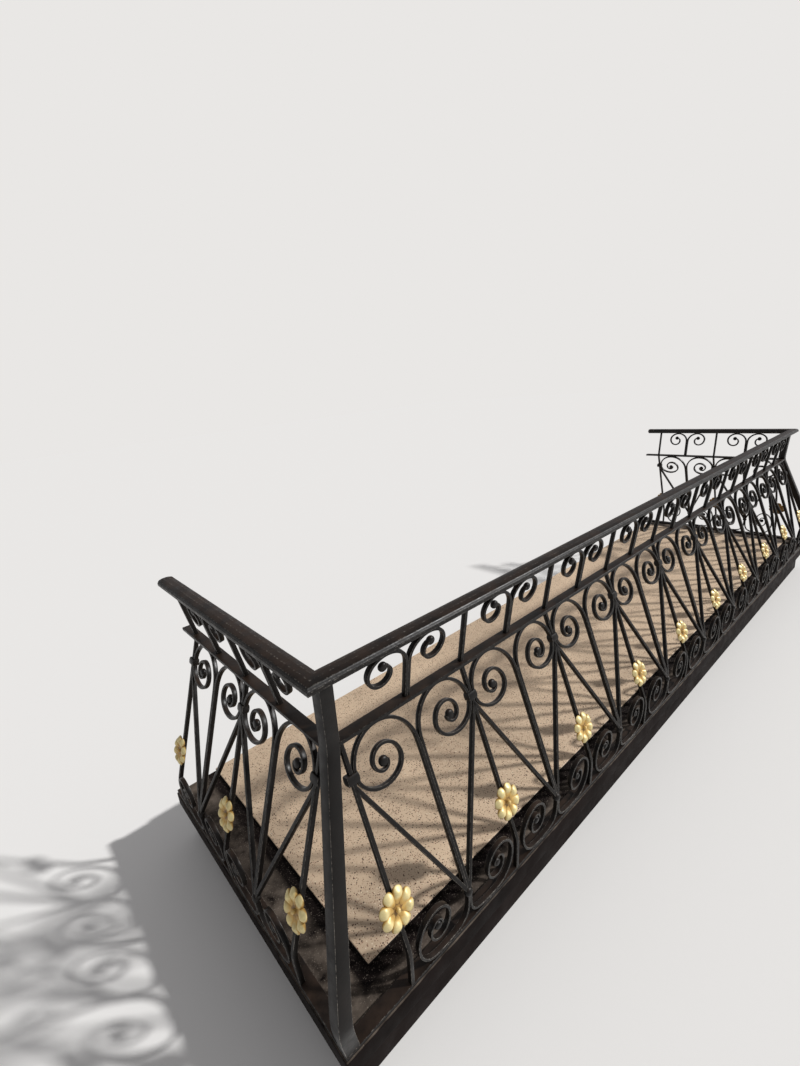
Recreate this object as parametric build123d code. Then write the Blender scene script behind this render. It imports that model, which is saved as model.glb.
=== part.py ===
from build123d import *
from math import atan2, cos, hypot, pi, sin
import os

os.makedirs("parts", exist_ok=True)

# Wrought-iron balcony with a bellied railing. Millimetres, +Z up, the wall is the plane y = 0,
# the balcony stands out towards -Y, and the origin is the middle of the base slab's back face.

# Driving sizes of the plan.
FRONT_BAYS = 9
FRONT_BAY = 460.0  # from one collar line to the next along the front
SIDE_BAYS = 2
SIDE_BAY = 440.0
CORNER_GAP = 56.0  # from the corner of the collar plane to the first collar line
WALL_GAP = 104.0  # from the wall to the last collar line of a side

# Driving levels, above the ledge that the railing stands on.
FLOOR_RISE = 11.0
BELLY_RISE = 120.0  # where the spokes meet and the section is widest
ROSETTE_RISE = 243.0
MID_RAIL_RISE = 676.0
HANDRAIL_RISE = 874.0

# How far the middle of each bar stands out of the collar plane.
BOTTOM_RAIL_OUT = 142.0
BELLY_OUT = 161.0
MID_RAIL_OUT = -26.0
HANDRAIL_OUT = 9.0

# Sections of the bars.
RAIL_THICK = 12.0
BOTTOM_RAIL_WIDE = 40.0
MID_RAIL_WIDE = 38.0
HANDRAIL_WIDE = 63.0
HANDRAIL_HIGH = 34.0
HANDRAIL_FOOT = 38.0
HANDRAIL_FOOT_HIGH = 8.0  # the flat bar under the moulded cap
POST_SIZE = 40.0
POST_EASE = 26.0  # the post's bend at the belly reaches this far up and down
POST_TOP_OUT_FRONT = -8.0
POST_TOP_OUT_SIDE = -22.0
BAR_DEEP = 16.0  # across the railing's thickness
SCROLL_BAR = 10.0  # thickness of a scrolled bar in the plane of its panel
FOOT_BAR = 8.0  # the foot volutes are of lighter bar
STRAIGHT_BAR = 12.0

# Scrolls.
OUTER_STEPS = 7  # straight steps of a scroll's first turn
INNER_STEPS = 5  # and of each later turn
CURL = 1.3  # how fast a scroll tightens towards its eye
LAP = 0.5  # how far the two bars of a double stem are forged into each other
SEAT = 0.3  # clearance of a scroll beside its centre bar
EYE_RADIUS = 14.5
EYE_BALL = 17.5  # the solid eye, which takes in the bar's end
SCROLL_TURNS = 2.0
SCROLL_LOW_SHARE = 0.8  # the outer turn is this much flatter below its eye
FRIEZE_TURNS = 1.25
FRIEZE_REACH_SHARE = 0.36  # of half a bay, from the double stem to the middle of the J scroll
FRIEZE_EYE_SHARE = 0.675  # of the frieze's height, from the mid rail to the middle of the J scroll
FRIEZE_ROUND = 0.432  # the J scrolls' height for their width, as a share of the frieze's height
FRIEZE_END_SHARE = 0.22  # the end's radius as a share of the reach
FRIEZE_BALL = 14.0
FOOT_TURNS = 1.75
FOOT_EYE_SHARE = 0.552  # of half a bay, from the belly point to the volute's eye
FOOT_EYE_RISE = 2.0  # the eye stands this much above the belly point
FOOT_START_SHARE = 0.348  # of half a bay, the radius of the outer turn where it lies on the rail
FOOT_END_RADIUS = 14.5
FOOT_STRETCH = 1.25  # the foot volutes are taller than they are wide
FOOT_SHIFT = 7.0  # the outer turn stands this much further from the belly point
FOOT_BALL = 13.0

# Ties and ornaments.
COLLAR_HIGH = 18.0
COLLAR_WALL = 5.0
BOSS_RADIUS = 15.0
BOSS_DEEP = 26.0
ROSETTE_SIZE = 111.0
ROSETTE_THICK = 16.0  # of the petals
BUTTON_SIZE = 30.0
BUTTON_RISE = 8.0  # beyond the petals
PETALS = 8

# Base.
FLOOR_OUT_FRONT = 38.0
FLOOR_OUT_SIDE = 0.0
LEDGE_THICK = 58.0
LEDGE_MARGIN = 4.0  # ledge beyond the bottom rail's outer edge
BASE_DEEP = 170.0
BASE_SETBACK = 50.0

# Worked-out sizes.
FRONT_HALF = (FRONT_BAYS * FRONT_BAY) / 2 + CORNER_GAP
REACH = SIDE_BAYS * SIDE_BAY + WALL_GAP + CORNER_GAP
LEDGE_TOP = BASE_DEEP / 2 + LEDGE_THICK
BOTTOM_RAIL_TOP = LEDGE_TOP + RAIL_THICK
BELLY_Z = LEDGE_TOP + BELLY_RISE
MID_RAIL_Z = LEDGE_TOP + MID_RAIL_RISE
MID_RAIL_TOP = MID_RAIL_Z + RAIL_THICK
HANDRAIL_Z = LEDGE_TOP + HANDRAIL_RISE
LEDGE_OUT = BOTTOM_RAIL_OUT + BOTTOM_RAIL_WIDE / 2 + LEDGE_MARGIN
FOOT_OUT = BOTTOM_RAIL_OUT + (BOTTOM_RAIL_WIDE - BAR_DEEP) / 2  # flush with the rail's outer edge
FAR = 400.0  # how far the cutting shapes reach past the railing


def zone(low_out, low_z, high_out, high_z):
    """One leaning flat of the railing's section, from its lower to its upper edge."""
    return {"out": low_out, "z": low_z, "lean": high_out - low_out, "rise": high_z - low_z,
            "high": hypot(high_out - low_out, high_z - low_z)}


FOOT = zone(FOOT_OUT, BOTTOM_RAIL_TOP, BELLY_OUT, BELLY_Z)
LOWER = zone(BELLY_OUT, BELLY_Z, MID_RAIL_OUT, MID_RAIL_Z)
FRIEZE = zone(MID_RAIL_OUT, MID_RAIL_TOP, HANDRAIL_OUT, HANDRAIL_Z)

SIDES = {
    "front": [CORNER_GAP + i * FRONT_BAY for i in range(FRONT_BAYS + 1)],
    "left": [WALL_GAP + i * SIDE_BAY for i in range(SIDE_BAYS + 1)],
}


def panel(side, flat):
    """The drawing plane of a flat: x along the rail, y up the lean, z outwards."""
    if side == "front":
        origin = (-FRONT_HALF, -(REACH + flat["out"]), flat["z"])
        return Plane(origin=origin, x_dir=(1, 0, 0), z_dir=(0, -flat["rise"], -flat["lean"]))
    origin = (-(FRONT_HALF + flat["out"]), 0, flat["z"])
    return Plane(origin=origin, x_dir=(0, -1, 0), z_dir=(-flat["rise"], 0, -flat["lean"]))


def outline(points):
    return make_face(Polyline(*points, close=True))


def bar(start, end, thick):
    """A straight bar as a strip between two points of its panel."""
    long = hypot(end[0] - start[0], end[1] - start[1])
    aside_x = -(end[1] - start[1]) / long * thick / 2
    aside_y = (end[0] - start[0]) / long * thick / 2
    return outline([(start[0] + aside_x, start[1] + aside_y), (end[0] + aside_x, end[1] + aside_y),
                    (end[0] - aside_x, end[1] - aside_y), (start[0] - aside_x, start[1] - aside_y)])


def strip(line, thick):
    """A bent bar of even thickness along a line of points."""
    left = []
    right = []
    for i, (x, y) in enumerate(line):
        before = line[max(i - 1, 0)]
        after = line[min(i + 1, len(line) - 1)]
        turn = atan2(after[1] - before[1], after[0] - before[0])
        left.append((x - sin(turn) * thick / 2, y + cos(turn) * thick / 2))
        right.append((x + sin(turn) * thick / 2, y - cos(turn) * thick / 2))
    return outline(left + right[::-1])


def volute(eye, radii, turns, begin=pi, way=-1, stretch=1.0, halves=(1.0, 1.0), shift=(0.0, 0.0)):
    """Points of a scroll that tightens round its eye.

    The halves flatten the two halves of its outer turn, and the shift moves that turn off the eye.
    """
    inner = max(1, round((turns - 1) * INNER_STEPS))
    turned = [i / OUTER_STEPS for i in range(OUTER_STEPS)]
    turned += [1 + (turns - 1) * i / inner for i in range(inner + 1)]
    points = []
    for turn in turned:
        left = 1 - turn / turns
        radius = radii[1] + (radii[0] - radii[1]) * left ** CURL
        angle = begin + way * 2 * pi * turn
        flat = halves[0] if turn < 0.5 else halves[1] if turn < 1 else 1.0
        points.append((eye[0] + shift[0] * left ** 2 + radius * cos(angle),
                       eye[1] + shift[1] * left ** 2 + stretch * flat * radius * sin(angle)))
    return points


def disc(centre, radius, sides=6):
    return Pos(*centre) * RegularPolygon(radius, sides)


def flip(line):
    return [(-x, y) for x, y in line]


def joined(shapes):
    whole = shapes[0]
    for shape in shapes[1:]:
        whole = whole + shape
    return whole


def thicken(plane, face, deep):
    return extrude(plane * face, deep / 2, both=True)


def level_cut(shape, low, high):
    """Keeps what lies between two levels, so bars end square on the rails."""
    size = 4 * FRONT_HALF
    keep = Pos(0, 0, (low + high) / 2) * Box(size, size, high - low)
    return shape & keep


def bays(side):
    lines = SIDES[side]
    return [(lines[i], lines[i + 1]) for i in range(len(lines) - 1)]


def frieze_scroll_face(middle, bay):
    """A double stem that parts into two J scrolls under the handrail, each with a ball at its end."""
    reach = FRIEZE_REACH_SHARE * bay / 2
    stem_x = SCROLL_BAR / 2 - LAP
    high = FRIEZE["high"]
    eye = (stem_x + reach, FRIEZE_EYE_SHARE * high)
    radii = (reach, FRIEZE_END_SHARE * reach)
    stretch = FRIEZE_ROUND * high / reach
    crest = max(y for _, y in volute((0, 0), radii, FRIEZE_TURNS, stretch=stretch))
    room = high - SCROLL_BAR / 2 - eye[1]
    curve = volute(eye, radii, FRIEZE_TURNS, stretch=stretch, halves=(room / crest, 1.0))
    line = [(stem_x, -SCROLL_BAR)] + curve
    right = strip(line, SCROLL_BAR) + disc(curve[-1], FRIEZE_BALL)
    left = strip(flip(line), SCROLL_BAR) + disc((-curve[-1][0], curve[-1][1]), FRIEZE_BALL)
    return Pos(middle, 0) * (right + left)


def scroll_pair_lines(bay):
    """The bent bar of one large scroll, from the belly up the stem and round to its eye."""
    half = bay / 2
    tight = (1 - 0.5 / SCROLL_TURNS) ** CURL
    stem_x = SCROLL_BAR / 2 - LAP
    room = half - stem_x - STRAIGHT_BAR / 2 - SCROLL_BAR / 2 - SEAT
    start = (room - EYE_RADIUS * (1 - tight)) / (1 + tight)
    halves = (1.0, SCROLL_LOW_SHARE)
    curve = volute((0, 0), (start, EYE_RADIUS), SCROLL_TURNS, halves=halves)
    eye = (stem_x + start, LOWER["high"] - SCROLL_BAR / 2 - max(y for _, y in curve))
    curve = [(x + eye[0], y + eye[1]) for x, y in curve]
    return [(stem_x, 0)] + curve, eye


def scroll_pair_face(middle, bay):
    line, eye = scroll_pair_lines(bay)
    right = strip(line, SCROLL_BAR) + disc(eye, EYE_BALL)
    left = strip(flip(line), SCROLL_BAR) + disc((-eye[0], eye[1]), EYE_BALL)
    return Pos(middle, 0) * (right + left)


def fan_face(line, low_belly, high_belly, eye_y):
    """A centre bar with its spokes, which run to the belly points beside it."""
    faces = [bar((line, -SCROLL_BAR), (line, LOWER["high"] + SCROLL_BAR), STRAIGHT_BAR)]
    for belly in (low_belly, high_belly):
        if belly is not None:
            faces.append(bar((line, eye_y - 14), (belly, 0), STRAIGHT_BAR))
    return joined(faces)


def foot_scroll_face(middle, bay):
    """A mirrored pair of volutes that lie along the bottom rail and rise to the belly."""
    stem_x = FOOT_BAR / 2 - LAP
    high = FOOT["high"]
    eye = (FOOT_EYE_SHARE * bay / 2, high + FOOT_EYE_RISE)
    radii = (FOOT_START_SHARE * bay / 2, FOOT_END_RADIUS)
    seat = FOOT_BAR / 2
    drop = seat + FOOT_STRETCH * radii[0] - eye[1]
    curve = volute(eye, radii, FOOT_TURNS, -pi / 2, 1, FOOT_STRETCH, shift=(FOOT_SHIFT, drop))
    bend = curve[0][0] - stem_x
    stem = [(stem_x, high), (stem_x, 0.4 * high), (stem_x + 0.25 * bend, seat + 6)]
    line = stem + curve
    right = strip(line, FOOT_BAR) + disc(eye, FOOT_BALL)
    left = strip(flip(line), FOOT_BAR) + disc((-eye[0], eye[1]), FOOT_BALL)
    return Pos(middle, 0) * (right + left)


def frustum(points, rise, share):
    """A straight-sided solid from an outline up to the same outline made smaller by a share."""
    low = [(x, y, 0) for x, y in points]
    top = [(share * x, share * y, rise) for x, y in points]
    faces = [Face(Wire.make_polygon(low)), Face(Wire.make_polygon(top))]
    for i in range(len(points)):
        j = (i + 1) % len(points)
        faces.append(Face(Wire.make_polygon([low[i], low[j], top[j], top[i]])))
    return Solid(Shell(faces))


def rosette(plane, line, high):
    """A cast rosette of eight blunt petals round a raised button, on the outer face of its bar."""
    points = []
    outer = ROSETTE_SIZE / 2
    for petal in range(PETALS):
        for part, share in ((0.0, 0.7), (0.3, 1.0), (0.7, 1.0)):
            angle = 2 * pi * (petal + part) / PETALS
            points.append((outer * share * cos(angle), outer * share * sin(angle)))
    petals = frustum(points, ROSETTE_THICK, 0.72)
    button = Pos(0, 0, ROSETTE_THICK) * extrude(RegularPolygon(BUTTON_SIZE / 2, 6), BUTTON_RISE)
    return plane * Pos(line, high, BAR_DEEP / 2) * (petals + button)


def mitre_zone(side):
    """Plan of the corner-to-corner stretch that belongs to a side."""
    corner = (-FRONT_HALF - FAR, -REACH - FAR)
    inner = (-FRONT_HALF + FAR, -REACH + FAR)
    if side == "front":
        plan = [corner, (-corner[0], corner[1]), (-inner[0], inner[1]), inner]
    else:
        plan = [corner, inner, (inner[0], 0), (corner[0], 0)]
    low = Pos(0, 0, -FAR) * outline(plan)
    return extrude(low, HANDRAIL_Z + 2 * FAR, dir=(0, 0, 1))


def rail(side, profile, out, z):
    """A rail of one profile along a side, mitred at the corners and flush with the wall."""
    if side == "front":
        along = Plane(origin=(-FRONT_HALF - FAR, -(REACH + out), z), x_dir=(0, 1, 0), z_dir=(1, 0, 0))
        long = 2 * (FRONT_HALF + FAR)
    else:
        along = Plane(origin=(-(FRONT_HALF + out), FAR, z), x_dir=(1, 0, 0), z_dir=(0, -1, 0))
        long = REACH + 2 * FAR
    return extrude(along * profile, long) & mitre_zone(side)


def flat_profile(wide):
    return Pos(0, RAIL_THICK / 2) * Rectangle(wide, RAIL_THICK)


def handrail_profile():
    """Moulded handrail: a flat foot, a lip on each side and a rounded top."""
    half = HANDRAIL_WIDE / 2
    foot = HANDRAIL_FOOT / 2
    low = HANDRAIL_FOOT_HIGH
    cap = HANDRAIL_HIGH - low
    right = [(foot, 0), (foot, low), (half, low + 0.08 * cap), (half, low + 0.5 * cap),
             (0.8 * half, low + 0.84 * cap), (0.3 * half, low + cap)]
    return outline(right + [(-x, y) for x, y in right[::-1]])


def corner_post():
    """One square bar: it follows both flats, is eased at the belly and stands steeper in the frieze."""
    under = POST_EASE * (BELLY_OUT - BOTTOM_RAIL_OUT) / (BELLY_Z - BOTTOM_RAIL_TOP)
    over = POST_EASE * (BELLY_OUT - MID_RAIL_OUT) / (MID_RAIL_Z - BELLY_Z)
    path = [(BOTTOM_RAIL_TOP, BOTTOM_RAIL_OUT, BOTTOM_RAIL_OUT),
            (BELLY_Z - POST_EASE, BELLY_OUT - under, BELLY_OUT - under),
            (BELLY_Z + POST_EASE, BELLY_OUT - over, BELLY_OUT - over),
            (MID_RAIL_Z + RAIL_THICK / 2, MID_RAIL_OUT, MID_RAIL_OUT),
            (HANDRAIL_Z, POST_TOP_OUT_SIDE, POST_TOP_OUT_FRONT)]
    sections = []
    for z, out_side, out_front in path:
        place = Pos(-(FRONT_HALF + out_side), -(REACH + out_front), z)
        sections.append(place * Rectangle(POST_SIZE, POST_SIZE))
    return loft(sections, ruled=True)


def save(name, shapes):
    whole = Compound(children=[solid for shape in shapes for solid in shape.solids()])
    export_step(whole, f"parts/{name}.step")


def save_both(name, shapes):
    """Saves a left-hand node and its mirror image on the right."""
    save(f"{name}_left", shapes)
    save(f"{name}_right", [mirror(shape, about=Plane.YZ) for shape in shapes])


def box_out(out_side, out_front, low, high):
    wide = 2 * (FRONT_HALF + out_side)
    deep = REACH + out_front
    return Pos(0, -deep / 2, (low + high) / 2) * Box(wide, deep, high - low)


def build_base():
    half = BASE_DEEP / 2
    back = LEDGE_OUT - BASE_SETBACK
    save("base_slab", [box_out(back, back, -half, half)])
    save("ledge_plate", [box_out(LEDGE_OUT, LEDGE_OUT, half, LEDGE_TOP)])
    save("floor_slab", [box_out(FLOOR_OUT_SIDE, FLOOR_OUT_FRONT, LEDGE_TOP, LEDGE_TOP + FLOOR_RISE)])


def build_side(side):
    lines = SIDES[side]
    bay = lines[1] - lines[0]
    middles = [(a + b) / 2 for a, b in bays(side)]
    foot = panel(side, FOOT)
    lower = panel(side, LOWER)
    frieze = panel(side, FRIEZE)
    _, eye = scroll_pair_lines(bay)
    keep = save if side == "front" else save_both
    tail = "_front" if side == "front" else ""
    post = corner_post()
    posts = [post, mirror(post, about=Plane.YZ)] if side == "front" else [post]

    mid_rail = rail(side, flat_profile(MID_RAIL_WIDE), MID_RAIL_OUT, MID_RAIL_Z)
    for one in posts:
        mid_rail = mid_rail - one
    keep("mid_rail" + tail, [mid_rail])
    keep("bottom_rail" + tail, [rail(side, flat_profile(BOTTOM_RAIL_WIDE), BOTTOM_RAIL_OUT, LEDGE_TOP)])
    keep("handrail" + tail, [rail(side, handrail_profile(), HANDRAIL_OUT, HANDRAIL_Z)])

    scrolls = [thicken(frieze, frieze_scroll_face(middle, bay), BAR_DEEP) for middle in middles]
    keep("frieze_scrolls" + tail, [level_cut(shape, MID_RAIL_TOP, HANDRAIL_Z) for shape in scrolls])
    between = lines[1:-1] if side == "front" else lines[:-1]
    plain = [thicken(frieze, bar((line, -20), (line, FRIEZE["high"] + 20), STRAIGHT_BAR), BAR_DEEP)
             for line in between]
    keep("frieze_bars" + tail, [level_cut(shape, MID_RAIL_TOP, HANDRAIL_Z) for shape in plain])

    pair_faces = [scroll_pair_face(middle, bay) for middle in middles]
    bosses = [thicken(lower, disc((middle, 0), BOSS_RADIUS, 8), BOSS_DEEP) for middle in middles]
    pairs = []
    for i, middle in enumerate(middles):
        face = pair_faces[i] - disc((middle, 0), BOSS_RADIUS, 8)
        pairs.append(level_cut(thicken(lower, face, BAR_DEEP), LEDGE_TOP, MID_RAIL_Z))
    keep("scroll_pairs" + tail, pairs)
    keep("tie_bosses" + tail, bosses)

    fans = []
    for i, line in enumerate(lines):
        before = middles[i - 1] if i > 0 else None
        after = middles[i] if i < len(middles) else None
        face = fan_face(line, before, after, eye[1])
        for j in (i - 1, i):
            if 0 <= j < len(middles):
                face = face - pair_faces[j] - disc((middles[j], 0), BOSS_RADIUS, 8)
        upper = level_cut(thicken(lower, face, BAR_DEEP), BELLY_Z, MID_RAIL_Z)
        stem = bar((line, -20), (line, FOOT["high"] + 20), STRAIGHT_BAR)
        under = level_cut(thicken(foot, stem, BAR_DEEP), BOTTOM_RAIL_TOP, BELLY_Z)
        fans.append(upper + under)
    keep("fan_bars" + tail, fans)

    high = eye[1] + 12
    collars = []
    for i, line in enumerate(lines):
        wide = STRAIGHT_BAR + 2 * SCROLL_BAR + 2 * COLLAR_WALL + 2
        block = thicken(lower, Pos(line, high) * Rectangle(wide, COLLAR_HIGH), BAR_DEEP + 2 * COLLAR_WALL)
        block = block - fans[i]
        for j in (i - 1, i):
            if 0 <= j < len(pairs):
                block = block - pairs[j]
        collars.append(block)
    keep("collars" + tail, collars)

    feet = []
    for i, middle in enumerate(middles):
        shape = level_cut(thicken(foot, foot_scroll_face(middle, bay), BAR_DEEP), BOTTOM_RAIL_TOP, MID_RAIL_Z)
        feet.append(shape - bosses[i] - pairs[i])
    keep("foot_scrolls" + tail, feet)

    up = (ROSETTE_RISE - BELLY_RISE) * LOWER["high"] / LOWER["rise"]
    keep("rosettes" + tail, [rosette(lower, line, up) for line in lines])


build_base()
save_both("corner_post", [corner_post()])
build_side("front")
build_side("left")
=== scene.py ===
"""Bellied iron balcony: forged bars, scrolls, ties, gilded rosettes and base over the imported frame."""

import math

import bpy
import numpy as np
from bpy.props import FloatProperty, FloatVectorProperty, IntProperty, PointerProperty
from mathutils import Matrix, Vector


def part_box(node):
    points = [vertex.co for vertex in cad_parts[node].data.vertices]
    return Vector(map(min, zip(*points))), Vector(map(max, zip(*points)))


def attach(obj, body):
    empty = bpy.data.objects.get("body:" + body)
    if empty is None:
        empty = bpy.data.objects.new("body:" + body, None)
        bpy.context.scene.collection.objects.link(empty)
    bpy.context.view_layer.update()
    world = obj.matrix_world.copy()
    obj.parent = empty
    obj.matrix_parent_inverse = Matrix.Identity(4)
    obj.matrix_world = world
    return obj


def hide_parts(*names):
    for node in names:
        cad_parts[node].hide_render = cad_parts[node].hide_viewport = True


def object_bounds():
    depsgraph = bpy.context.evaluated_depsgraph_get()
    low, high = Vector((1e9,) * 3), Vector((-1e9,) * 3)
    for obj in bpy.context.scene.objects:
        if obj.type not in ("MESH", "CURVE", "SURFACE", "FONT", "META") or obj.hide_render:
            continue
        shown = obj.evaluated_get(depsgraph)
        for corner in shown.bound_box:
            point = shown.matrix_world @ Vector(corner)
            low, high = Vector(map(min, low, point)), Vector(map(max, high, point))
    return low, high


bl_info = {
    "name": "Bellied Iron Balcony",
    "version": (1, 0, 0),
    "blender": (4, 5, 0),
    "location": "View3D > Sidebar > Balcony",
    "description": "Makes the forged railing, the gilded rosettes and the base of a bellied balcony",
    "category": "Add Mesh",
}

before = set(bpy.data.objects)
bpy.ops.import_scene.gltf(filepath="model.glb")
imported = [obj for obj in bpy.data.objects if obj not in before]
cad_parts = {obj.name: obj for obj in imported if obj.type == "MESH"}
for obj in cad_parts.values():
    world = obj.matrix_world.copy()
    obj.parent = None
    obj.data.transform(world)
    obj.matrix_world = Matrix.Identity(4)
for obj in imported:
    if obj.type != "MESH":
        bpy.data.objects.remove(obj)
CAD_BOX = [list(corner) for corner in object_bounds()]


def linear(code):
    """Linear colour of an sRGB hex code: (c / 12.92) below 0.04045, else ((c + 0.055) / 1.055)^2.4."""
    srgb = np.array([int(code[i:i + 2], 16) for i in (1, 3, 5)]) / 255
    return tuple(np.where(srgb <= 0.04045, srgb / 12.92, ((srgb + 0.055) / 1.055) ** 2.4).tolist())


def box(node):
    low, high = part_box(node)
    return np.array(low), np.array(high)


def level(node):
    """Distance from the wall, lowest and highest level of a rail of the front."""
    low, high = box(node)
    return -(low[1] + high[1]) / 2, low[2], high[2]


BOTTOM_OUT, _, BOTTOM_TOP = level("bottom_rail_front")
BELLY_OUT, BELLY_LOW, BELLY_HIGH = level("tie_bosses_front")
BELLY_Z = (BELLY_LOW + BELLY_HIGH) / 2
MID_OUT, MID_LOW, MID_TOP = level("mid_rail_front")
HAND_OUT, HAND_LOW, HAND_TOP = level("handrail_front")
BAR_DEEP = 0.016
# The foot of the lattice: its bars stand flush with the bottom rail's outer edge.
FOOT_OUT = -box("bottom_rail_front")[0][1] - BAR_DEEP / 2
# How much further a side's bars stand from the middle than the front's bars stand from the wall.
SIDE_SHIFT = -(box("mid_rail_left")[0][0] + box("mid_rail_left")[1][0]) / 2 - MID_OUT
SIDES = ("front", "left", "right")


class RailingSizes(bpy.types.PropertyGroup):
    """Sizes of the forged bars and ornaments, in metres."""

    front_bays: IntProperty(name="Front bays", description="Bays along the front", default=9, min=1)
    side_bays: IntProperty(name="Side bays", description="Bays along each side", default=2, min=1)
    scroll_thick: FloatProperty(
        name="Scroll bar", description="Thickness of a scrolled bar seen from the front",
        default=0.010, unit="LENGTH")
    foot_thick: FloatProperty(
        name="Foot bar", description="Thickness of the foot volutes' lighter bar seen from the front",
        default=0.008, unit="LENGTH")
    bar_thick: FloatProperty(
        name="Straight bar", description="Thickness of a straight bar seen from the front",
        default=0.012, unit="LENGTH")
    bar_deep: FloatProperty(
        name="Bar depth", description="Depth of the bars across the railing",
        default=BAR_DEEP, unit="LENGTH")
    corner: FloatProperty(
        name="Bar corner", description="Rounding of the bars' corners", default=0.0022, unit="LENGTH")
    large_eye: FloatProperty(
        name="Large eye", description="Radius of the large scrolls' solid eyes",
        default=0.0148, unit="LENGTH")
    small_eye: FloatProperty(
        name="Small eye", description="Radius of the small scrolls' solid eyes",
        default=0.014, unit="LENGTH")
    post_wide: FloatProperty(
        name="Corner post", description="Width of the square corner posts", default=0.040, unit="LENGTH")
    post_lean_front: FloatProperty(
        name="Post lean, front", description="How far a post leans out to the front above the mid rail",
        default=0.018, unit="LENGTH")
    post_lean_side: FloatProperty(
        name="Post lean, side", description="How far a post leans out to its side above the mid rail",
        default=0.004, unit="LENGTH")
    belly_ease: FloatProperty(
        name="Belly rounding", description="Half length over which the bars bend at the belly",
        default=0.014, unit="LENGTH")
    collar_high: FloatProperty(
        name="Collar", description="Height of the forged collars", default=0.024, unit="LENGTH")
    petals: IntProperty(name="Petals", description="Petals of a rosette", default=8, min=4)
    rosette_wide: FloatProperty(
        name="Rosette", description="Diameter of a rosette", default=0.110, unit="LENGTH")


class FinishColours(bpy.types.PropertyGroup):
    """Main colours of the finishes."""

    iron: FloatVectorProperty(
        name="Iron paint", description="Black satin paint of the railing",
        subtype="COLOR", size=3, min=0, max=1, default=linear("#110e0c"))
    gilding: FloatVectorProperty(
        name="Gilding", description="Pale gold paint of the rosettes",
        subtype="COLOR", size=3, min=0, max=1, default=linear("#e2d096"))
    terrazzo: FloatVectorProperty(
        name="Terrazzo", description="Ground of the terrazzo floor",
        subtype="COLOR", size=3, min=0, max=1, default=linear("#d2b99c"))
    render: FloatVectorProperty(
        name="Base paint", description="Dark paint of the ledge and the base",
        subtype="COLOR", size=3, min=0, max=1, default=linear("#150e0c"))


# Grids of points and the faces over them.


def tube_faces(rows, around):
    """Quads of a grid closed round its second side, turned outwards for a path to the right of it."""
    i, j = np.meshgrid(np.arange(rows - 1), np.arange(around), indexing="ij")
    k = (j + 1) % around
    corners = [i * around + j, i * around + k, (i + 1) * around + k, (i + 1) * around + j]
    return np.stack(corners, -1).reshape(-1, 4)


def tube(grid, wear=None):
    """Closed skin over a grid (rows, around, 3): its quads and a flat cap at each end."""
    rows, around = grid.shape[:2]
    last = (rows - 1) * around + np.arange(around)
    painted_light_and_wear_values = np.zeros((rows, around)) if wear is None else np.broadcast_to(wear, (rows, around))
    return {"points": grid.reshape(-1, 3), "wear": painted_light_and_wear_values.reshape(-1).copy(),
            "faces": [tube_faces(rows, around), np.arange(around)[::-1][None, :], last[None, :]]}


def joined(shells):
    """One shell out of many, each one's faces counted on from the points before it."""
    starts = np.cumsum([0] + [len(s["points"]) for s in shells[:-1]])
    return {"points": np.concatenate([s["points"] for s in shells]),
            "wear": np.concatenate([s["wear"] for s in shells]),
            "faces": [f + start for s, start in zip(shells, starts) for f in s["faces"]]}


def repeated(shell, places):
    """The shell once at each place along the railing, its first coordinate moved there."""
    steps = np.arange(len(places)) * len(shell["points"])
    shifts = np.stack([places, 0 * places, 0 * places], -1)
    return {"points": (shell["points"][None] + shifts[:, None]).reshape(-1, 3),
            "wear": np.tile(shell["wear"], len(places)),
            "faces": [(f[None] + steps[:, None, None]).reshape(-1, f.shape[1]) for f in shell["faces"]]}


def mirrored(shell):
    """The shell with its first coordinate negated and its faces turned back outwards."""
    return {"points": shell["points"] * (-1, 1, 1), "wear": shell["wear"],
            "faces": [f[:, ::-1] for f in shell["faces"]]}


def moved(shell, shift):
    return {**shell, "points": shell["points"] + np.asarray(shift, float)}


def both_ways(shell):
    return joined([shell, mirrored(shell)])


# The railing's section and its drawing sheets.


def bellied(s, ease):
    """Section of the railing above the bottom rail, as distance from the wall, level and outward normal.

    With d = s - belly, a and b the unit directions below and above the belly:
    point = belly + (a + b) / 2 * d + (b - a) / 2 * sqrt(d^2 + ease^2).
    """
    belly = np.array([BELLY_OUT, BELLY_Z])
    below = belly - (FOOT_OUT, BOTTOM_TOP)
    above = np.array([MID_OUT, MID_LOW]) - belly
    foot = np.hypot(*below)
    a, b = below / foot, above / np.hypot(*above)
    d = (s - foot)[..., None]
    soft = np.sqrt(d ** 2 + ease ** 2)
    point = belly + (a + b) / 2 * d + (b - a) / 2 * soft
    way = (a + b) / 2 + (b - a) / 2 * d / soft
    way = way / np.linalg.norm(way, axis=-1, keepdims=True)
    return point, np.stack([way[..., 1], -way[..., 0]], -1)


def flat_section(s, foot, head):
    """Straight section: point = foot + s * (head - foot) / |head - foot|, and its outward normal."""
    way = np.subtract(head, foot)
    way = way / np.hypot(*way)
    return foot + s[..., None] * way, np.broadcast_to([way[1], -way[0]], s.shape + (2,))


def leaning(s, ease):
    """Section of the frieze, from the mid rail to the handrail."""
    return flat_section(s, (MID_OUT, MID_TOP), (HAND_OUT, HAND_LOW))


def upright(s, ease):
    """Section of the foot volutes: the steep flat from the bottom rail to the belly, carried on past it."""
    return flat_section(s, (FOOT_OUT, BOTTOM_TOP), (BELLY_OUT, BELLY_Z))


FOOT_HIGH = math.hypot(BELLY_OUT - FOOT_OUT, BELLY_Z - BOTTOM_TOP)
FIELD_HIGH = math.hypot(BELLY_OUT - MID_OUT, MID_LOW - BELLY_Z)
FRIEZE_HIGH = math.hypot(HAND_OUT - MID_OUT, HAND_LOW - MID_TOP)


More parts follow.
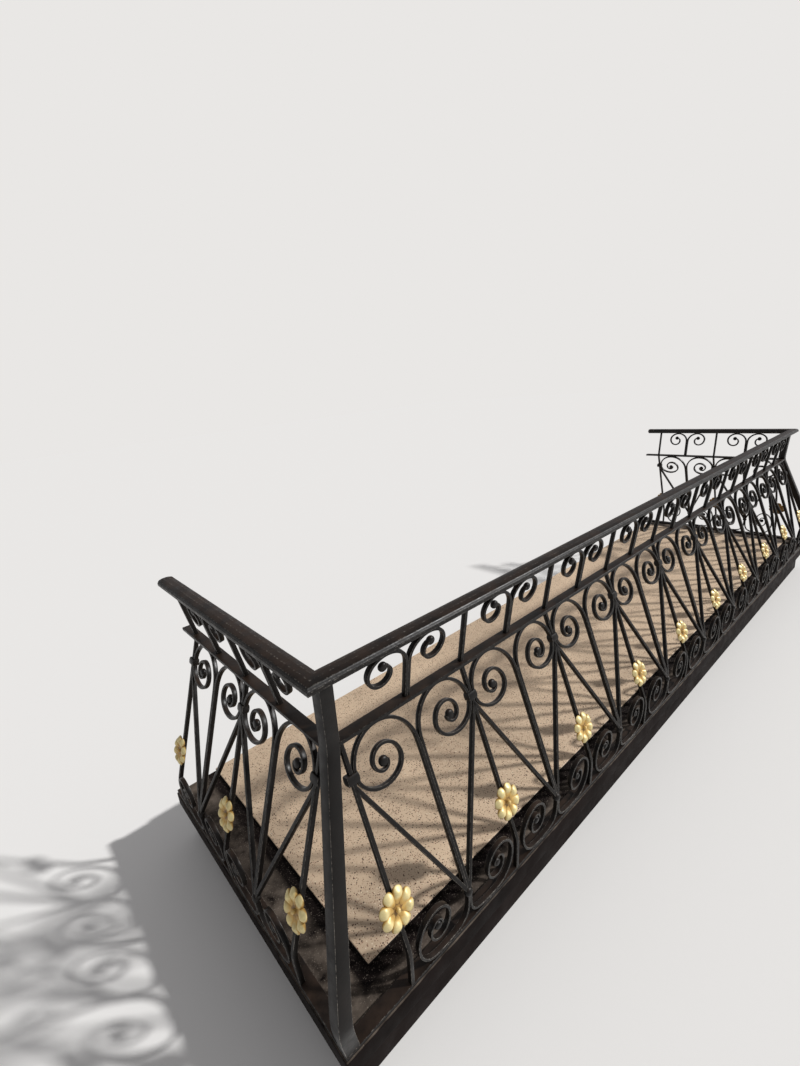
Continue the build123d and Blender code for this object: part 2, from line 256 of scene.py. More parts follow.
def on_side(shell, side, section, ease):
    """Puts a drawn shell (along, up the section, outwards) on a side of the railing.

    front: (x, y, z) = (along, -out, z); left: (-(out + shift), -along, z); right: the left's mirror image.
    """
    along, s, w = shell["points"].T
    point, normal = section(s, ease)
    out, z = (point + normal * w[:, None]).T
    if side == "front":
        return {**shell, "points": np.stack([along, -out, z], -1)}
    left = {**shell, "points": np.stack([-(out + SIDE_SHIFT), -along, z], -1)}
    return left if side == "left" else mirrored(left)


def bay_lines(side, sizes):
    """Places along a side of its centre bars, one between each two bays."""
    low, high = box("fan_bars_front" if side == "front" else "fan_bars_left")
    half = sizes.bar_thick / 2
    if side == "front":
        return np.linspace(low[0] + half, high[0] - half, sizes.front_bays + 1)
    return np.linspace(-high[1] + half, -low[1] - half, sizes.side_bays + 1)


def half_bay(lines):
    return (lines[1] - lines[0]) / 2


def bay_middles(lines):
    return (lines[1:] + lines[:-1]) / 2


# Bars.

# Shapes that the bars have in common: lengths in metres, and shares.
SPIRAL_POWER = 1.3  # How fast a scroll closes up towards its eye.
EYE_HALF_DEEP = 0.56  # Half depth of a solid eye, as a share of its bar's depth.
FORGED_IN = 0.0005  # How far each stem of a pair is forged into the other.
SCROLL_GAP = 0.0003  # Left between a large scroll and the centre bar beside it.
LARGEST_CORNER = 0.45  # The most that a corner takes of a bar that is drawn out thin.
BLOCK_CORNER = 0.003  # Rounding of the posts and the collars.
BUTTON_REACH = 80  # Degrees from a button's rim to its flat ends.
DISC_HALF_DEEP = 0.004  # Half depth of the disc behind a rosette's petals.


def rounded_section(wide, deep, corner, steps=3):
    """Outline of a bar with rounded corners, and its painted highlight with scuffed paint, which is 1 in the
    middle of each corner.

    Across it is sign * (wide / 2 - corner) + corner * cos, and outwards it is
    sign * (deep / 2 - corner) + corner * sin.
    """
    turn = np.linspace(0, math.pi / 2, steps)
    angle = (np.arange(4)[:, None] * math.pi / 2 + turn).reshape(-1)
    sign = np.repeat([[1, 1], [-1, 1], [-1, -1], [1, -1]], steps, axis=0)
    across = sign[:, 0] * (wide / 2 - corner) + corner * np.cos(angle)
    outward = sign[:, 1] * (deep / 2 - corner) + corner * np.sin(angle)
    return across, outward, np.tile(np.sin(2 * turn), 4)


def forged(line, thick, deep, corner):
    """Bar with a rounded section along a drawn line (count, 2): point = line + left-hand normal * across."""
    way = np.gradient(line, axis=0)
    way = way / np.linalg.norm(way, axis=1, keepdims=True)
    normal = np.stack([-way[:, 1], way[:, 0]], -1)
    thick = np.broadcast_to(thick, len(line))[:, None]
    deep = np.broadcast_to(deep, len(line))[:, None]
    corner = np.minimum(corner, LARGEST_CORNER * np.minimum(thick, deep))
    across, outward, wear = rounded_section(thick, deep, corner)
    drawn = line[:, None] + normal[:, None] * across[..., None]
    return tube(np.concatenate([drawn, outward[..., None]], -1), wear)


def button(centre, radius, half_deep, around=20, rows=9, power=0.55):
    """Solid eye or boss: radius * cos(t)^power at height half_deep * sin(t) / sin(80), t from -80 to 80."""
    t = np.radians(np.linspace(-BUTTON_REACH, BUTTON_REACH, rows))[:, None]
    turn = np.arange(around) * 2 * math.pi / around
    wide = radius * np.cos(t) ** power
    high = half_deep * np.sin(t) / math.sin(math.radians(BUTTON_REACH))
    x, y = centre[0] + wide * np.cos(turn), centre[1] + wide * np.sin(turn)
    return tube(np.stack([x, y, high + 0 * turn], -1))


def spiral(eye, start, end, turns, count, begin=math.pi, way=-1, stretch=1.0,
           halves=(1.0, 1.0), shift=(0.0, 0.0)):
    """Points round an eye: radius = end + (start - end) * (1 - t)^1.3, angle = begin + way * 2 pi turns * t.

    Levels are stretched, times halves in the two halves of the outer turn, and the eye is off by
    shift * (1 - t)^2.
    """
    t = np.linspace(0, 1, count)
    radius = end + (start - end) * (1 - t) ** SPIRAL_POWER
    angle = begin + way * 2 * math.pi * turns * t
    flat = stretch * np.select([turns * t < 0.5, turns * t < 1], halves, 1.0)
    return np.stack([eye[0] + shift[0] * (1 - t) ** 2 + radius * np.cos(angle),
                     eye[1] + shift[1] * (1 - t) ** 2 + flat * radius * np.sin(angle)], -1)


def smoothed(line, passes=3):
    """Takes the kink out of a line: each pass moves a point to the mean of itself and its two neighbours."""
    line = line.copy()
    for _ in range(passes):
        line[1:-1] = (line[:-2] + line[1:-1] + line[2:]) / 3
    return line


def drawn_out(count, size, tip, share):
    """Size along a bar that tapers to a share, tip, of itself over the last share of the bar's length."""
    t = np.linspace(0, 1, count)
    return size + (tip * size - size) * np.clip((t - 1 + share) / share, 0, 1) ** 1.5


def large_scroll(half, sizes):
    """Right-hand bar of a pair, from the belly up its stem, over the arch and round to the eye."""
    turns, lower_half, below_eye = 2.0, 0.8, 0.012
    end = sizes.large_eye - 0.001
    tight = (1 - 0.5 / turns) ** SPIRAL_POWER
    stem = sizes.scroll_thick / 2 - FORGED_IN
    room = half - stem - sizes.bar_thick / 2 - sizes.scroll_thick / 2 - SCROLL_GAP
    start = (room - end * (1 - tight)) / (1 + tight)
    curve = spiral((0, 0), start, end, turns, 120, halves=(1.0, lower_half))
    eye = np.array([stem + start, FIELD_HIGH - sizes.scroll_thick / 2 - curve[:, 1].max()])
    rise = np.linspace((stem, 0), (stem, eye[1] - below_eye), 14)
    line = smoothed(np.concatenate([rise, curve + eye]))
    thick = drawn_out(len(line), sizes.scroll_thick, tip=0.7, share=0.4)
    deep = drawn_out(len(line), sizes.bar_deep, tip=0.9, share=0.3)
    bar = forged(line, thick, deep, sizes.corner)
    return joined([bar, button(eye, sizes.large_eye, EYE_HALF_DEEP * sizes.bar_deep)]), eye


def frieze_scroll(half, sizes):
    """Right-hand bar of a frieze pair: stem, arch under the handrail, and a J that ends in a ball.

    Its reach is a share of the half bay, and its eye's level and its arch are shares of the frieze's height.
    """
    reach_share, eye_share, arch_share, end_share = 0.36, 0.675, 0.432, 0.22
    turns, count, below_eye = 1.25, 80, 0.008
    stem = sizes.scroll_thick / 2 - FORGED_IN
    reach = reach_share * half
    end = end_share * reach
    eye = np.array([stem + reach, eye_share * FRIEZE_HIGH])
    stretch = arch_share * FRIEZE_HIGH / reach
    crest = spiral((0, 0), reach, end, turns, count, stretch=stretch)[:, 1].max()
    room = FRIEZE_HIGH - sizes.scroll_thick / 2 - eye[1]
    curve = spiral(eye, reach, end, turns, count, stretch=stretch, halves=(room / crest, 1.0))
    rise = np.linspace((stem, 0), (stem, eye[1] - below_eye), 6)
    line = smoothed(np.concatenate([rise, curve]))
    thick = drawn_out(len(line), sizes.scroll_thick, tip=0.75, share=0.4)
    bar = forged(line, thick, sizes.bar_deep, sizes.corner)
    return joined([bar, button(curve[-1], sizes.small_eye, EYE_HALF_DEEP * sizes.bar_deep)])


def foot_scroll(half, sizes):
    """Right-hand volute under the belly: down from the tie, along the bottom rail and round to its eye.

    The stem is a quarter of the curve |x|^4 + |y|^4 = 1 between the tie and the rail. The eye's place and the
    outer turn are shares of the half bay.
    """
    eye_share, outer_share, end, turns = 0.552, 0.348, 0.0145, 1.75
    stretch, aside, above_belly, eye_size = 1.25, 0.007, 0.002, 0.93
    stem, seat = sizes.foot_thick / 2 - FORGED_IN, sizes.foot_thick / 2
    eye = np.array([eye_share * half, FOOT_HIGH + above_belly])
    start = outer_share * half
    drop = seat + stretch * start - eye[1]
    curve = spiral(eye, start, end, turns, 110, begin=-math.pi / 2, way=1, stretch=stretch,
                   shift=(aside, drop))
    turn = np.linspace(0, math.pi / 2, 26)[:-1]
    bend = np.stack([stem + (curve[0, 0] - stem) * (1 - np.sqrt(np.cos(turn))),
                     seat + (FOOT_HIGH - seat) * (1 - np.sqrt(np.sin(turn)))], -1)
    line = smoothed(np.concatenate([bend, curve]))
    thick = drawn_out(len(line), sizes.foot_thick, tip=0.7, share=0.5)
    bar = forged(line, thick, sizes.bar_deep, sizes.corner)
    return joined([bar, button(eye, eye_size * sizes.small_eye, EYE_HALF_DEEP * sizes.bar_deep)])


def collar(wide, high, deep):
    """Forged band: a rounded box whose sides swell by 1.6 mm * sin(pi * t)^0.6 up its height."""
    t = np.linspace(0, 1, 9)[:, None]
    swell = 0.0016 * np.sin(math.pi * t) ** 0.6
    across, outward, wear = rounded_section(wide, deep, BLOCK_CORNER, steps=4)
    grid = np.stack([across + np.sign(across) * swell, (t - 0.5) * high + 0 * across,
                     -(outward + np.sign(outward) * swell)], -1)
    return tube(grid, wear)


def petal(heel, tip, wide, thick, turn):
    """Plump petal along its radius, thin at the heel and swelling to a knob behind its blunt tip.

    With s from heel to tip and u across: half width = wide * (0.3 + 0.7 * s^0.8) * (1 - s^6)^0.5,
    rise = thick * (0.3 + 0.7 * exp(-((s - 0.68) / 0.24)^2)) * (1 - s^8)^0.5 * (1 - u^2)^0.5, a third of it
    on the back. Painted shade, in the grooves between the petals and at the heel, is |u|^7 + exp(-(s /
    0.22)^2)
    + 0.45 * exp(-((s - 0.32) / 0.2)^2), at most 1, and it is 1 on the back.
    """
    s = (1 - (1 - np.linspace(0, 0.985, 17)) ** 1.5)[:, None]
    around = np.arange(18) * 2 * math.pi / 18
    u, up = np.cos(around), np.sin(around)
    half_wide = wide * (0.3 + 0.7 * s ** 0.8) * (1 - s ** 6) ** 0.5
    rise = thick * (0.3 + 0.7 * np.exp(-((s - 0.68) / 0.24) ** 2)) * (1 - s ** 8) ** 0.5
    rise = rise * np.where(up > 0, up, 0.33 * up)
    radius = heel + (tip - heel) * s + 0 * around
    aside = half_wide * u
    grid = np.stack([radius * math.cos(turn) - aside * math.sin(turn),
                     radius * math.sin(turn) + aside * math.cos(turn), rise], -1)
    # Painted shade in the grooves between the petals and at the heel, and 1 on the back.
    groove = np.abs(u) ** 7 + np.exp(-(s / 0.22) ** 2) + 0.45 * np.exp(-((s - 0.32) / 0.2) ** 2)
    return tube(grid, np.where(up > -0.1, np.minimum(groove, 1), 1.0))


def rosette(sizes):
    """Petals in a ring on a small disc, round a low knob."""
    outer = sizes.rosette_wide / 2
    turns = (np.arange(sizes.petals) + 0.5) * 2 * math.pi / sizes.petals
    nearly_touching, disc_share, half_knob, knob_shade = 0.99, 0.6, 0.007, 0.35
    half = outer * math.sin(math.pi / sizes.petals) * nearly_touching
    petals = [petal(heel=0.003, tip=outer, wide=half, thick=0.013, turn=turn) for turn in turns]
    disc = button((0, 0), disc_share * outer, DISC_HALF_DEEP, around=24, rows=5)
    # Painted shade: the disc, seen between the petals, is brown, and the knob golden brown.
    disc["wear"] = disc["wear"] + 1
    knob = moved(button((0, 0), radius=0.0065, half_deep=half_knob, around=14), (0, 0, half_knob))
    knob["wear"] = knob["wear"] + knob_shade
    return joined([*petals, disc, knob])


# Rails, posts and slabs.

RAIL_SHEEN_AND_WEAR = 0.72  # Painted highlight and scuffed paint on a rail's arrises, where a bar's is 1.
RAIL_CORNER = 0.002  # Rounding of the flat rails, in metres.
INNER_CUT = 0.02  # Share of a mitre's cut that its inner edge takes, which keeps the faces whole.
# The handrail: its foot's half width and height and its rounding, in metres, and the right half of its cap,
# as shares of its half width and of the cap's height.
HAND_FOOT, HAND_FOOT_HIGH, HAND_CORNER = 0.019, 0.008, 0.004
HAND_CAP = ((0.96, 0.02), (1.0, 0.14), (1.0, 0.46), (0.94, 0.56), (0.8, 0.84), (0.3, 1.0))
POST_EASE = 1.6  # How much longer than the bars' the posts' bend at the belly is.
POST_TENON = 0.004  # How far a post runs up into the handrail, in metres.


def round_the_corners(profile, cut=0.0):
    """Carries a profile (count, 2) of distance and level round the three sides, mitred at the corners.

    The outer edge's corners are cut by that much, the inner edge's by next to nothing, and the rest by what
    lies between. The profile has four points for each rounded corner, and only the middle two carry the
    painted highlight and scuffed paint.
    """
    out, z = profile.T
    reach = out + SIDE_SHIFT
    plan = [(-reach, 0 * out), (-reach, -out), (reach, -out), (reach, 0 * out)]
    if cut:
        cut = cut * (INNER_CUT + (1 - INNER_CUT) * (out - out.min()) / np.ptp(out))
        plan[1:3] = [(-reach, cut - out), (cut - reach, -out), (reach - cut, -out), (reach, cut - out)]
    grid = np.stack([np.stack([x, y, z], -1) for x, y in plan])
    return tube(grid, np.tile([0.0, RAIL_SHEEN_AND_WEAR, RAIL_SHEEN_AND_WEAR, 0.0], len(profile) // 4))


def rounded_profile(points, radius, steps=4):
    """Rounds a closed outline: a corner becomes (1 - t)^2 * start + 2 t (1 - t) * corner + t^2 * end."""
    points = np.asarray(points, float)
    before, after = np.roll(points, 1, axis=0), np.roll(points, -1, axis=0)
    nearly_half = 0.49
    reach_in = np.minimum(radius / np.linalg.norm(before - points, axis=1), nearly_half)[:, None]
    reach_out = np.minimum(radius / np.linalg.norm(after - points, axis=1), nearly_half)[:, None]
    start = points + (before - points) * reach_in
    end = points + (after - points) * reach_out
    t = np.linspace(0, 1, steps)[None, :, None]
    eased = (1 - t) ** 2 * start[:, None] + 2 * t * (1 - t) * points[:, None] + t ** 2 * end[:, None]
    return eased.reshape(-1, 2)


def bar_profile(out, low, high, wide):
    half = wide / 2
    corners = [(out + half, low), (out + half, high), (out - half, high), (out - half, low)]
    return rounded_profile(corners, RAIL_CORNER)


def handrail_profile():
    """Moulded handrail: a flat foot, and over it a cap with a lip on each side and a rounded top."""
    low, high = box("handrail_front")
    half, cap = (high[1] - low[1]) / 2, HAND_TOP - HAND_LOW - HAND_FOOT_HIGH
    right = np.concatenate([[(HAND_FOOT, 0), (HAND_FOOT, HAND_FOOT_HIGH)],
                            np.multiply(HAND_CAP, (half, cap)) + (0, HAND_FOOT_HIGH)])
    points = np.concatenate([right, right[::-1] * (-1, 1)])
    return rounded_profile(points + (HAND_OUT, HAND_LOW), HAND_CORNER)


def corner_post(sizes):
    """Square post on the railing's mitre line, eased at the belly, and straight above the mid rail.

    With d = level - belly and a and b the slopes below and above it: out = belly out + (a + b) / 2 * d
    + (b - a) / 2 * sqrt(d^2 + ease^2).
    """
    z = np.linspace(BOTTOM_TOP, MID_TOP, 70)
    a = (BELLY_OUT - BOTTOM_OUT) / (BELLY_Z - BOTTOM_TOP)
    b = (MID_OUT - BELLY_OUT) / (MID_LOW - BELLY_Z)
    d = z - BELLY_Z
    out = BELLY_OUT + (a + b) / 2 * d + (b - a) / 2 * np.sqrt(d ** 2 + (POST_EASE * sizes.belly_ease) ** 2)
    up = np.linspace(0, 1, 12)[1:]
    side = np.concatenate([out, out[-1] + up * sizes.post_lean_side])
    front = np.concatenate([out, out[-1] + up * sizes.post_lean_front])
    z = np.concatenate([z, MID_TOP + up * (HAND_LOW + POST_TENON - MID_TOP)])
    side, front, z = smoothed(np.stack([side, front, z], -1), passes=2).T[..., None]
    across, outward, wear = rounded_section(sizes.post_wide, sizes.post_wide, BLOCK_CORNER)
    return tube(np.stack([-(side + SIDE_SHIFT) + across, -front + outward, z + 0 * across], -1), wear)


def slab(node, edge):
    """Slab in a node's box, its free edges rounded by a quarter circle of the edge's size."""
    low, high = box(node)
    turn = np.linspace(0, math.pi / 2, 5)
    drop, climb = edge * (1 - np.cos(turn)), edge * (1 - np.sin(turn))
    inset = np.concatenate([climb, drop])
    rise = np.concatenate([low[2] + drop, high[2] - climb])
    right = np.stack([high[0] - drop, low[1] + climb], -1)
    front = np.concatenate([right, right[::-1] * (-1, 1)])
    plan = np.concatenate([[(high[0], 0.0)], front, [(low[0], 0.0)]])
    x = plan[:, 0] - inset[:, None] * np.sign(plan[:, 0])
    y = plan[:, 1] + inset[:, None] * (plan[:, 1] < 0)
    return tube(np.stack([x, y, rise[:, None] + 0 * x], -1)[:, ::-1])


# Meshes and pieces.

SHARP_ANGLE = math.radians(38)
# Finish and slot of each kind of piece.
IRON = ("painted_wrought_iron", "wrought_iron")
GOLD = ("pale_gold_bronze_paint", "gilding")
TERRAZZO = ("ground_terrazzo", "terrazzo")
RENDER = ("painted_cement_render", "base_render")


def lay_mesh(name, shell):
    """Puts a shell's whole arrays into a mesh, smooth but for its sharp edges."""
    mesh = bpy.data.meshes.new(name)
    faces = shell["faces"]
    totals = np.concatenate([np.full(len(f), f.shape[1]) for f in faces])
    mesh.vertices.add(len(shell["points"]))
    mesh.vertices.foreach_set("co", shell["points"].astype(np.float32).ravel())
    mesh.loops.add(int(totals.sum()))
    mesh.loops.foreach_set("vertex_index", np.concatenate([f.ravel() for f in faces]).astype(np.int32))
    mesh.polygons.add(len(totals))
    mesh.polygons.foreach_set("loop_start", (np.cumsum(totals) - totals).astype(np.int32))
    mesh.polygons.foreach_set("use_smooth", np.ones(len(totals), bool))
    # The attribute carries painted highlight with scuffed paint on the iron, and painted shade on the
    # rosettes.
    wear = mesh.attributes.new("wear", "FLOAT", "POINT")
    wear.data.foreach_set("value", shell["wear"].astype(np.float32))
    mesh.update()
    mesh.validate()
    mesh.set_sharp_from_angle(angle=SHARP_ANGLE)
    return mesh


def add_piece(name, shell, look, *nodes):
    """Makes the object that stands for some CAD nodes and rides on the one body."""
    material, slot = look
    piece = bpy.data.objects.new(name, lay_mesh(name, shell))
    bpy.context.scene.collection.objects.link(piece)
    piece.data.materials.append(finish(material))
    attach(piece, "root")
    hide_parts(*nodes)


# Finishes.


def put(tree, kind, settings=None, inputs=None):
    """Adds a node: settings are its own, an input is a value or a (node, output) pair to link."""
    node = tree.nodes.new(kind)
    for name, value in (settings or {}).items():
        setattr(node, name, value)
    for name, value in (inputs or {}).items():
        if isinstance(value, tuple) and isinstance(value[0], bpy.types.Node):
            tree.links.new(value[0].outputs[value[1]], node.inputs[name])
        else:
            node.inputs[name].default_value = value
    return node


def ramp(tree, factor, stops):
    """Colour ramp through (place, colour) stops."""
    node = put(tree, "ShaderNodeValToRGB", None, {"Fac": factor})
    while len(node.color_ramp.elements) < len(stops):
        node.color_ramp.elements.new(0.5)
    for element, (place, colour) in zip(node.color_ramp.elements, stops):
        element.position = place
        element.color = (*colour, 1)
    return node, "Color"


def fresh_material(name):
    material = bpy.data.materials.new(name)
    material.use_nodes = True
    tree = material.node_tree
    tree.nodes.clear()
    surface = put(tree, "ShaderNodeBsdfPrincipled")
    put(tree, "ShaderNodeOutputMaterial", None, {"Surface": (surface, "BSDF")})
    coords = put(tree, "ShaderNodeTexCoord")
    return material, tree, surface, (coords, "Object")


def noise(tree, where, millimetres, detail=3.0, roughness=0.55):
    """Noise whose largest patches are about so many millimetres across."""
    scale = 1000 / millimetres
    inputs = {"Vector": where, "Scale": scale, "Detail": detail, "Roughness": roughness}
    return put(tree, "ShaderNodeTexNoise", None, inputs), "Fac"


def clouded(tree, where, colour, millimetres, detail, stops):
    """The colour in darker and lighter patches, by (place, factor) stops."""
    shades = [(place, tuple(min(1.0, c * factor) for c in colour)) for place, factor in stops]
    return ramp(tree, noise(tree, where, millimetres, detail), shades)


def blend(tree, factor, under, code):
    """The colour of an sRGB hex code mixed over a (node, output) colour."""
    mix = put(tree, "ShaderNodeMix", {"data_type": "RGBA"}, {"Factor": factor})
    tree.links.new(under[0].outputs[under[1]], mix.inputs["A"])
    mix.inputs["B"].default_value = (*linear(code), 1)
    return mix, "Result"


def ranged(tree, value, low, high, start, end):
    """A value read between low and high and written between start and end."""
    node = put(tree, "ShaderNodeMapRange", None,
               {"Value": value, "From Min": low, "From Max": high, "To Min": start, "To Max": end})
    return node, "Result"


def maths(tree, kind, first, second=0.0):
    return put(tree, "ShaderNodeMath", {"operation": kind}, {0: first, 1: second}), "Value"


def times(tree, first, second):
    return maths(tree, "MULTIPLY", first, second)


def part_of(tree, vector, axis):
    return put(tree, "ShaderNodeSeparateXYZ", None, {"Vector": vector}), axis


def facing_up(tree):
    return part_of(tree, (put(tree, "ShaderNodeNewGeometry"), "Normal"), "Z")


def upward(tree, where, millimetres):
    """How much a face looks up, broken into patches."""
    return times(tree, facing_up(tree), noise(tree, where, millimetres, 4.0))


def painted_light_and_wear_of(tree):
    return put(tree, "ShaderNodeAttribute", {"attribute_name": "wear"}), "Fac"


def feed(tree, surface, name, pair):
    tree.links.new(pair[0].outputs[pair[1]], surface.inputs[name])


def roughen(tree, surface, where, millimetres, low, high):
    """Roughness between low and high, in patches."""
    patches = noise(tree, where, millimetres)
    feed(tree, surface, "Roughness", ranged(tree, patches, 0.3, 0.7, low, high))


def bumps(tree, where, layers):
    """Normal roughened by layers of noise, each (millimetres, detail, strength, depth)."""
    result = None
    for millimetres, detail, strength, depth in layers:
        inputs = {"Height": noise(tree, where, millimetres, detail),
                  "Strength": strength, "Distance": depth}
        if result is not None:
            inputs["Normal"] = result
        result = (put(tree, "ShaderNodeBump", None, inputs), "Normal")
    return result


def iron_paint(colours):
    """Old black oil paint on forged iron: satin and warm, dusty brown on top, pale grey at the arrises as
    painted highlight and scuffed paint.
    """
    material, tree, surface, where = fresh_material("painted_wrought_iron")
    colour = clouded(tree, where, colours.iron, 90, 3.0, [(0.30, 0.6), (0.5, 1.0), (0.72, 1.7)])
    # Brown dust on what looks up, in 70 mm drifts.
    dust = ranged(tree, upward(tree, where, 70), 0.3, 0.75, 0.0, 0.5)
    colour = blend(tree, dust, colour, "#4a382c")
    # Painted highlight, with some scuffed paint, at the arrises: the attribute is 1 along a bar's arrises,
    # broken up by 8 mm noise.
    arris_sheen_and_wear = times(tree, painted_light_and_wear_of(tree), noise(tree, where, 8, 4.0, 0.7))
    # Low down the painted highlight is stronger, as painted sunlight on the lower parts.
    reach = ranged(tree, part_of(tree, where, "Z"), 0.2, 0.6, 1.0, 0.6)
    arris_sheen_and_wear_mix = times(tree, ranged(tree, arris_sheen_and_wear, 0.36, 0.6, 0.0, 1.0), reach)
    feed(tree, surface, "Base Color", blend(tree, arris_sheen_and_wear_mix, colour, "#a39c92"))
    roughen(tree, surface, where, 35, 0.30, 0.52)
    # Chalked paint has lost half of its gloss.
    surface.inputs["IOR"].default_value = 1.46
    surface.inputs["Specular IOR Level"].default_value = 0.28
    # Hammer marks about 14 mm apart under brush drag of 2 mm.
    feed(tree, surface, "Normal", bumps(tree, where, [(14, 1.5, 0.35, 0.0016), (2.4, 2.0, 0.25, 0.0004)]))
    return material


def gold_paint(colours):
    """Pale gold bronze paint over cast iron: cream on the petals' knobs, with painted shade in gold and brown
    in their grooves.
    """
    material, tree, surface, where = fresh_material("pale_gold_bronze_paint")
    colour = clouded(tree, where, colours.gilding, 22, 4.0, [(0.25, 0.7), (0.48, 1.0), (0.75, 1.12)])
    # Painted shade: the attribute is 1 in the grooves between the petals and round the knob, where it turns
    # the colour gold, then brown.
    shade_patches = ranged(tree, noise(tree, where, 12, 4.0), 0.3, 0.7, 0.65, 1.2)
    groove_shade = times(tree, painted_light_and_wear_of(tree), shade_patches)
    colour = blend(tree, ranged(tree, groove_shade, 0.08, 0.45, 0.0, 0.85), colour, "#c59a4a")
    colour = blend(tree, ranged(tree, groove_shade, 0.45, 1.0, 0.0, 0.92), colour, "#6b4b20")
    feed(tree, surface, "Base Color", colour)
    surface.inputs["Metallic"].default_value = 0.2
    roughen(tree, surface, where, 9, 0.32, 0.55)
    feed(tree, surface, "Normal", bumps(tree, where, [(5, 3.0, 0.3, 0.0008)]))
    return material


def terrazzo(colours):
    """Ground terrazzo: warm beige cement with brown and dark and a few pale stone chips, weathered."""
    material, tree, surface, where = fresh_material("ground_terrazzo")
    colour = clouded(tree, where, colours.terrazzo, 420, 5.0, [(0.3, 0.78), (0.52, 1.0), (0.75, 1.15)])
    # Chips in cells of 4 to 8 mm, of which the shares are filled.
    chips = ((4, 0.4, "#a27c65"), (6, 0.42, "#75503f"), (8, 0.3, "#43291f"), (7, 0.14, "#e0cfb4"))
    for size, share, shade in chips:
        cells = put(tree, "ShaderNodeTexVoronoi", None, {"Vector": where, "Scale": 1000 / size})
        chosen = put(tree, "ShaderNodeSeparateColor", None, {"Color": (cells, "Color")})
        few = maths(tree, "LESS_THAN", (chosen, "Red"), share)
        near = maths(tree, "LESS_THAN", (cells, "Distance"), 0.3)
        colour = blend(tree, times(tree, few, near), colour, shade)
    # The slab's sides are near-black, like the ledge.
    edge = ranged(tree, facing_up(tree), 0.5, 0.7, 1.0, 0.0)
    feed(tree, surface, "Base Color", blend(tree, edge, colour, "#1a1210"))
    roughen(tree, surface, where, 60, 0.5, 0.75)
    feed(tree, surface, "Normal", bumps(tree, where, [(6, 4.0, 0.25, 0.0008)]))
    return material


def painted_render(colours):
    """Black-brown oil paint on cement render: weathered dull, dusty on top, sandy to the touch."""
    material, tree, surface, where = fresh_material("painted_cement_render")
    colour = clouded(tree, where, colours.render, 240, 5.0, [(0.3, 0.6), (0.5, 1.0), (0.75, 1.6)])
    # Beside the floor, in a band about 45 mm wide, the dust below is left off, so the ledge's top stays
    # near-black there; the band stands for the floor slab's dark side, which is taller than the slab drawn
    # here.
    low, _ = box("floor_slab")
    aside = maths(tree, "SUBTRACT", maths(tree, "ABSOLUTE", part_of(tree, where, "X")), -low[0])
    ahead = maths(tree, "SUBTRACT", low[1], part_of(tree, where, "Y"))
    dusty = ranged(tree, maths(tree, "MAXIMUM", aside, ahead), 0.035, 0.055, 0.0, 1.0)
    # Grey-brown dust lies on faces that look up, in 60 mm patches, with pale grit of 4 mm in it.
    dust = times(tree, ranged(tree, upward(tree, where, 60), 0.3, 0.65, 0.0, 0.72), dusty)
    colour = blend(tree, dust, colour, "#7a6e63")
    grit = ranged(tree, upward(tree, where, 4), 0.6, 0.7, 0.0, 0.5)
    feed(tree, surface, "Base Color", blend(tree, grit, colour, "#a3978a"))
    # Dead flat: the paint has weathered to a sheenless skin.
    roughen(tree, surface, where, 80, 0.62, 0.9)
    surface.inputs["Specular IOR Level"].default_value = 0.1
    feed(tree, surface, "Normal", bumps(tree, where, [(30, 2.0, 0.2, 0.002), (3.5, 3.0, 0.4, 0.001)]))
    return material


def finish(kind):
    """The finish of that kind, made the first time that a piece asks for it."""
    makers = {"painted_wrought_iron": iron_paint, "pale_gold_bronze_paint": gold_paint,
              "ground_terrazzo": terrazzo, "painted_cement_render": painted_render}
    return bpy.data.materials.get(kind) or makers[kind](bpy.context.scene.balcony_colours)


# Operators.


class BALCONY_OT_base(bpy.types.Operator):
    """Make the masonry base, the ledge and the terrazzo floor"""

    bl_idname = "balcony.base"
    bl_label = "Base and Floor"

    def execute(self, context):
        add_piece("masonry_base", slab("base_slab", edge=0.006), RENDER, "base_slab")
        add_piece("railing_ledge", slab("ledge_plate", edge=0.004), RENDER, "ledge_plate")
        add_piece("terrazzo_floor", slab("floor_slab", edge=0.004), TERRAZZO, "floor_slab")
        return {"FINISHED"}


class BALCONY_OT_rails(bpy.types.Operator):
    """Make the bottom rail, the mid rail and the moulded handrail round three sides"""

    bl_idname = "balcony.rails"
    bl_label = "Rails"

    def execute(self, context):
        for name in ("bottom_rail", "mid_rail"):
            low, high = box(f"{name}_front")
            wide = high[1] - low[1]
            profile = bar_profile(-(low[1] + high[1]) / 2, low[2], high[2], wide)
            # The mid rail ends inside the corner posts, whose faces stand clear of it.
            cut = (context.scene.balcony_sizes.post_wide + wide) / 2 if name == "mid_rail" else 0.0
            add_piece(f"forged_{name}", round_the_corners(profile, cut), IRON,
                      *[f"{name}_{side}" for side in SIDES])
        add_piece("moulded_handrail", round_the_corners(handrail_profile()), IRON,
                  *[f"handrail_{side}" for side in SIDES])
        return {"FINISHED"}


class BALCONY_OT_posts(bpy.types.Operator):
    """Make the two square corner posts that follow the belly"""

    bl_idname = "balcony.posts"
    bl_label = "Corner Posts"

    def execute(self, context):
        post = corner_post(context.scene.balcony_sizes)
        add_piece("post_left", post, IRON, "corner_post_left")
        add_piece("post_right", mirrored(post), IRON, "corner_post_right")
        return {"FINISHED"}


def per_side(kind, node, drawing, section, sizes, look=IRON):
    """Draws a shell for each side from its bay lines and puts it on the railing there."""
    for side in SIDES:
        shell = on_side(drawing(bay_lines(side, sizes)), side, section, sizes.belly_ease)
        add_piece(f"{kind}_{side}", shell, look, f"{node}_{side}")


